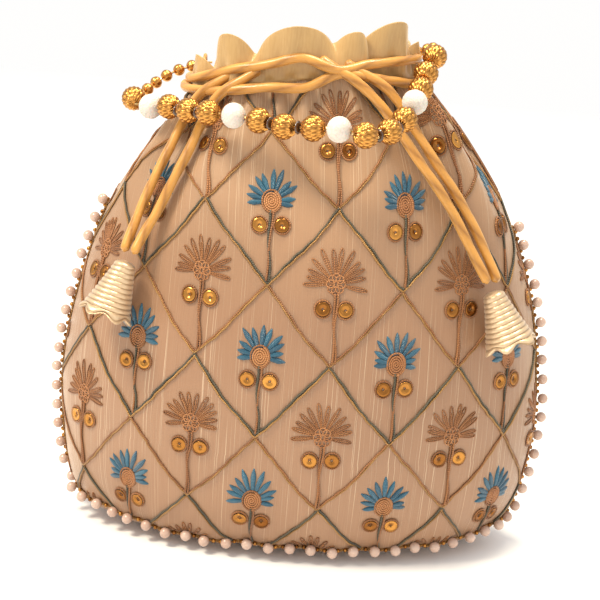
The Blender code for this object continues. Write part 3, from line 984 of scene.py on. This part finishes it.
def neck_turn(name, level, cross, node):
    """A cord's turn round the neck, pressed into the cloth and wandering where the two cross."""
    angle = np.linspace(-math.pi, math.pi, 360, endpoint=False)
    level = level + cross * 0.020 * np.exp(-((angle - 1.45) / 0.30) ** 2) * np.sin((angle - 1.45) * 5)
    level = level + cross * 0.006 * np.sin(angle * 3 + 1)
    # A taut cord spans the folds: only their six longest waves reach it.
    folds = np.fft.fft(np.maximum(fold_height(level, angle), 0))
    folds[7:-6] = 0
    over = 0.9 * MM * cross * np.exp(-((angle - 1.45) / 0.2) ** 2)
    lift = CORD_R + 1.5 * MM + np.fft.ifft(folds).real + over
    # The lower turn is pressed in where the handle's beads rest on it.
    lift = lift - 1.5 * MM * (1 - cross) * np.exp(-(((angle - 0.52) / 0.30) ** 2))
    line = skin(level, angle) + outward(level, angle) * lift[:, None]
    piece = twisted_cord(name, line, CORD_R, closed=True)
    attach(piece, "bag")
    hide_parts(node)


neck_turn("drawstring_left_turn", 0.985, 1, "drawstring_left_loop")
neck_turn("drawstring_right_turn", 0.945, -1, "drawstring_right_loop")

# Hanging ends: share of the way up, angle in degrees, and height off the skin in mm.
ENDS = {
    "drawstring_left_end_a": [
        (0.992, 128, 2.0), (0.95, 142, 4.8), (0.90, 149, 4.6), (0.855, 148, 4),
        (0.78, 144, 4.4), (0.72, 142, 5), (0.66, 140.5, 7), (0.61, 139, 10),
    ],
    "drawstring_left_end_b": [
        (0.985, 114, 2.0), (0.945, 129, 4.8), (0.90, 136, 4.4), (0.855, 136, 4),
        (0.78, 134.5, 4.4), (0.70, 134.5, 5), (0.65, 135.5, 7), (0.61, 135.5, 10),
    ],
    "drawstring_right_end_a": [
        (0.992, 83, 2.0), (0.95, 69, 4.8), (0.90, 60, 4.6), (0.84, 55, 4),
        (0.79, 52, 4.4), (0.73, 48, 5), (0.655, 45, 7), (0.605, 43, 10),
    ],
    "drawstring_right_end_b": [
        (0.985, 70, 2.0), (0.94, 56, 4.8), (0.90, 50, 4.6), (0.84, 47.5, 4),
        (0.79, 45.5, 4.4), (0.73, 42.5, 5), (0.655, 40, 7), (0.605, 39.5, 10),
    ],
}


def smooth_through(knots, count):
    """Points of the smooth curve through a few knots."""
    knots = np.asarray(knots, float)
    padded = np.vstack([2 * knots[0] - knots[1], knots, 2 * knots[-1] - knots[-2]])
    at = np.linspace(0, len(knots) - 1, count)
    i = np.minimum(at.astype(int), len(knots) - 2)
    u = (at - i)[:, None]
    before, start, end, after = padded[i], padded[i + 1], padded[i + 2], padded[i + 3]
    return 0.5 * (
        2 * start
        + (end - before) * u
        + (2 * before - 5 * start + 4 * end - after) * u**2
        + (3 * start - before - 3 * end + after) * u**3
    )


def over_skin(t, degrees, lift):
    t, angle = np.asarray(t, float), np.radians(np.asarray(degrees, float))
    return skin(t, angle) + outward(t, angle) * (np.asarray(lift, float) * MM)[..., None]


# ------------------------------------------------------------------------------------------
# The bells: cones wound with pale metallic thread in ridges, each rim pinched into petals.
# They end the drawstrings.
# ------------------------------------------------------------------------------------------
BELL_LENGTH = 21 * MM
BELL_TOP_R = 4.3 * MM
BELL_MOUTH_R = 10.5 * MM
BELL_RIDGES = 11
BELL_AXES = {
    "tassel_bell_left": ((0.592, 137.3, 9.5), (0.50, 138.5, 13.5)),
    "tassel_bell_right": ((0.588, 41.3, 9.5), (0.50, 38, 13.5)),
}
tinsel = Finish("pale_tinsel", Metallic=0.6, Roughness=0.36, Sheen_Weight=0.15)
tinsel_wind_shade = tinsel.spot("wind")
tinsel_grain = tinsel.noise(1200.0)
# Painted shade: the tinsel is coloured darker in the grooves between its windings and darkest inside the
# bell.
tinsel_tone = tinsel_wind_shade * 0.7 + tinsel_grain * 0.3
tinsel.surface(
    Base_Color=tinsel.mix(tinsel_tone, (0.22, 0.12, 0.05), (0.70, 0.52, 0.33)),
    Roughness=tinsel_grain * 0.3 + 0.2,
    Normal=tinsel.relief(tinsel_grain, 0.2 * MM, 0.6),
)


def bell(node):
    """A wound cone from its knot to its pinched rim, and back up inside."""
    high, low = (over_skin(*knot) for knot in BELL_AXES[node])
    axes = np.array(Vector(high - low).to_track_quat("Z", "Y").to_matrix())
    turn = np.linspace(0, 2 * math.pi, 96, endpoint=False)[None, :]
    down = np.linspace(0, 1, 150)[:, None]
    wave = np.abs(np.sin(down * math.pi * BELL_RIDGES + turn * 0.5))
    lips = np.cos(turn * 6) * ease((down - 0.84) / 0.16)
    radius = BELL_TOP_R + (BELL_MOUTH_R - BELL_TOP_R) * down**1.12
    outside = radius * (0.93 + 0.07 * wave**0.6 + 0.09 * lips)
    drop = -BELL_LENGTH * (down + 0.05 * lips * (down > 0.84))
    inside = radius[::-1] * (0.80 + 0.09 * lips[::-1])
    cap = np.array([0.05, 0.45, 0.8])[:, None] * BELL_TOP_R
    cap_rise = np.array([1.6, 1.3, 0.7])[:, None] * MM
    radii = np.concatenate([cap + 0 * turn, outside, inside[:110]])
    drops = np.concatenate([cap_rise + 0 * turn, drop + 0 * turn, (drop[::-1] + 0 * turn)[:110]])
    # Painted shade: the grooves between the windings and the bell's inside carry low values, so they are
    # coloured dark.
    wind = np.concatenate([cap * 0 + 0.6 + 0 * turn, wave**0.6 + 0 * turn, 0.15 + 0 * inside[:110]])
    local = np.stack([radii * np.cos(turn), radii * np.sin(turn), drops], -1).reshape(-1, 3)
    faces = grid_faces(len(radii), 96, closed=True)
    faces = [face[::-1] for face in faces]
    faces += [tuple(range(96)), tuple(range(len(local) - 96, len(local)))[::-1]]
    piece = shape(node + "_wound", high + local @ axes.T, faces, tinsel.material, wind=wind.reshape(-1))
    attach(piece, "bag")
    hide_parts(node)
    return piece


bells = {node: bell(node) for node in BELL_AXES}
for node, knots in ENDS.items():
    line = over_skin(*smooth_through(knots, 90).T)
    piece = twisted_cord(node + "_cord", line, CORD_R)
    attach(piece, "bag")
    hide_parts(node)
    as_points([tuple(p) for p in line[::3]] + [tuple(line[-1])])

# ------------------------------------------------------------------------------------------
# The handle: a bail of beads strung on wire, filigree gilt beads and frosted white ones with
# dark rondelles between them, and small gilt beads at each end, sewn on with cord eyes.
# ------------------------------------------------------------------------------------------
def numbered(stem):
    names = [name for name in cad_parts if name.rsplit("_", 1)[0] == stem]
    return sorted(names, key=lambda name: int(name.rsplit("_", 1)[1]))


def middle(node):
    low, high = (np.array(corner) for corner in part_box(node))
    return (low + high) / 2


BEAD_KINDS = ("gold_bead", "white_bead", "black_spacer", "small_gold_bead")
centres = {node: middle(node) for kind in BEAD_KINDS for node in numbered(kind)}


def bore_way(node):
    """The direction of a bead's bore: between its two neighbours on the bail."""
    place = centres[node]
    near = sorted((np.linalg.norm(other - place), name) for name, other in centres.items() if name != node)
    first = centres[near[0][1]] - place
    for _, name in near[1:6]:
        second = centres[name] - place
        if first @ second < 0:
            return tuple(first / np.linalg.norm(first) - second / np.linalg.norm(second))
    return tuple(first)


def fluted(polar, turn):
    """Crossed flutes like filigree round the bead, with a ring of grains by each hole."""
    flutes = np.abs(np.sin(8 * turn + 3.5 * np.cos(polar)) * np.sin(8 * turn - 3.5 * np.cos(polar))) ** 0.6
    grains = 0.03 * np.sin(14 * turn) * (np.abs(np.cos(polar)) > 0.78)
    rings = 0.035 * np.cos(polar * 10)
    return -0.10 * (1 - flutes) ** 1.5 * np.sin(polar) ** 0.5 + rings * np.abs(np.cos(polar)) + grains


def ribbed(polar, turn):
    return -0.06 * (1 - np.abs(np.sin(5 * turn))) * np.sin(polar)


def faceted(polar, turn):
    return -0.05 * np.abs(np.sin(4 * turn)) + 0.0 * polar


sugar_draw = np.random.default_rng(21)


def sugared(polar, turn):
    return sugar_draw.uniform(-0.028, 0.028, (len(polar), turn.shape[1]))


def antique_gold(name, dark, light):
    """Gilt, coloured darker in its grooves."""
    gilt = Finish(name, Metallic=1.0, Roughness=0.25)
    groove = gilt.spot("groove")
    depth = gilt.add("ShaderNodeMapRange", {}, {"Value": groove, "From Min": 0.90, "From Max": 1.0})
    wear = gilt.noise(260.0)
    gilt.surface(
        Base_Color=gilt.mix(depth * 0.8 + wear * 0.25, dark, light),
        Roughness=0.42 - depth * 0.2 + wear * 0.1,
        Normal=gilt.relief(wear, 0.15 * MM, 0.3),
    )
    return gilt.material


bead_gold = antique_gold("antique_gold", (0.10, 0.028, 0.004), (0.66, 0.32, 0.08))
sugar = Finish("sugar_white", Roughness=0.62, Subsurface_Weight=0.15, Subsurface_Scale=0.002)
sugar_grain = sugar.noise(1500.0, 3.0)
sugar.surface(
    Base_Color=sugar.mix(sugar_grain, (0.50, 0.43, 0.36), (0.76, 0.71, 0.65)),
    Normal=sugar.relief(sugar_grain, 0.35 * MM, 0.9),
)
dark_glass = Finish("dark_glass", Roughness=0.12, Coat_Weight=0.5)
dark_glass.surface(
    Base_Color=dark_glass.mix(dark_glass.noise(400.0), (0.012, 0.006, 0.004), (0.09, 0.035, 0.012)),
)
KINDS = {
    "gold_bead": ("fluted_gold_beads", 4.98 * MM, 84, 40, fluted, 0.95, bead_gold, "bead_gold"),
    "white_bead": ("sugared_white_beads", 4.85 * MM, 64, 40, sugared, 0.94, sugar.material, "bead_white"),
    "black_spacer": ("dark_rondelles", 2.65 * MM, 24, 12, faceted, 0.36, dark_glass.material, "bead_black"),
    "small_gold_bead": ("small_gold_beads", 2.5 * MM, 40, 20, ribbed, 0.95, bead_gold, "bead_gold"),
}
for kind, (name, radius, around, rings, relief, squash, finish, slot) in KINDS.items():
    lumps = Lumps()
    for node in numbered(kind):
        lumps.bead(centres[node], bore_way(node), radius, around, rings, relief, squash, bore=0.2)
    lumps.made(name, finish, "handle", slot, numbered(kind))

wire_finish = Finish("stringing_wire", Metallic=1.0, Roughness=0.3)
wire_finish.surface(Base_Color=wire_finish.mix(wire_finish.noise(300.0), (0.5, 0.32, 0.12), (0.8, 0.6, 0.3)))
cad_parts["handle_wire"].data.materials.clear()
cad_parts["handle_wire"].data.materials.append(wire_finish.material)

EYE_CORD_R = 0.75 * MM
for side in ("left", "right"):
    node = "handle_eye_" + side
    low, high = (np.array(corner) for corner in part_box(node))
    centre, reach = (low + high) / 2, (high[2] - low[2]) / 2 - EYE_CORD_R
    turn = np.linspace(0, 2 * math.pi, 60, endpoint=False)
    ring = centre + reach * np.stack([0 * turn, np.cos(turn), np.sin(turn)], -1)
    piece = twisted_cord(node + "_cord", ring, EYE_CORD_R, closed=True, pitch=4 * MM, sides=10)
    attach(piece, "bag")
    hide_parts(node)
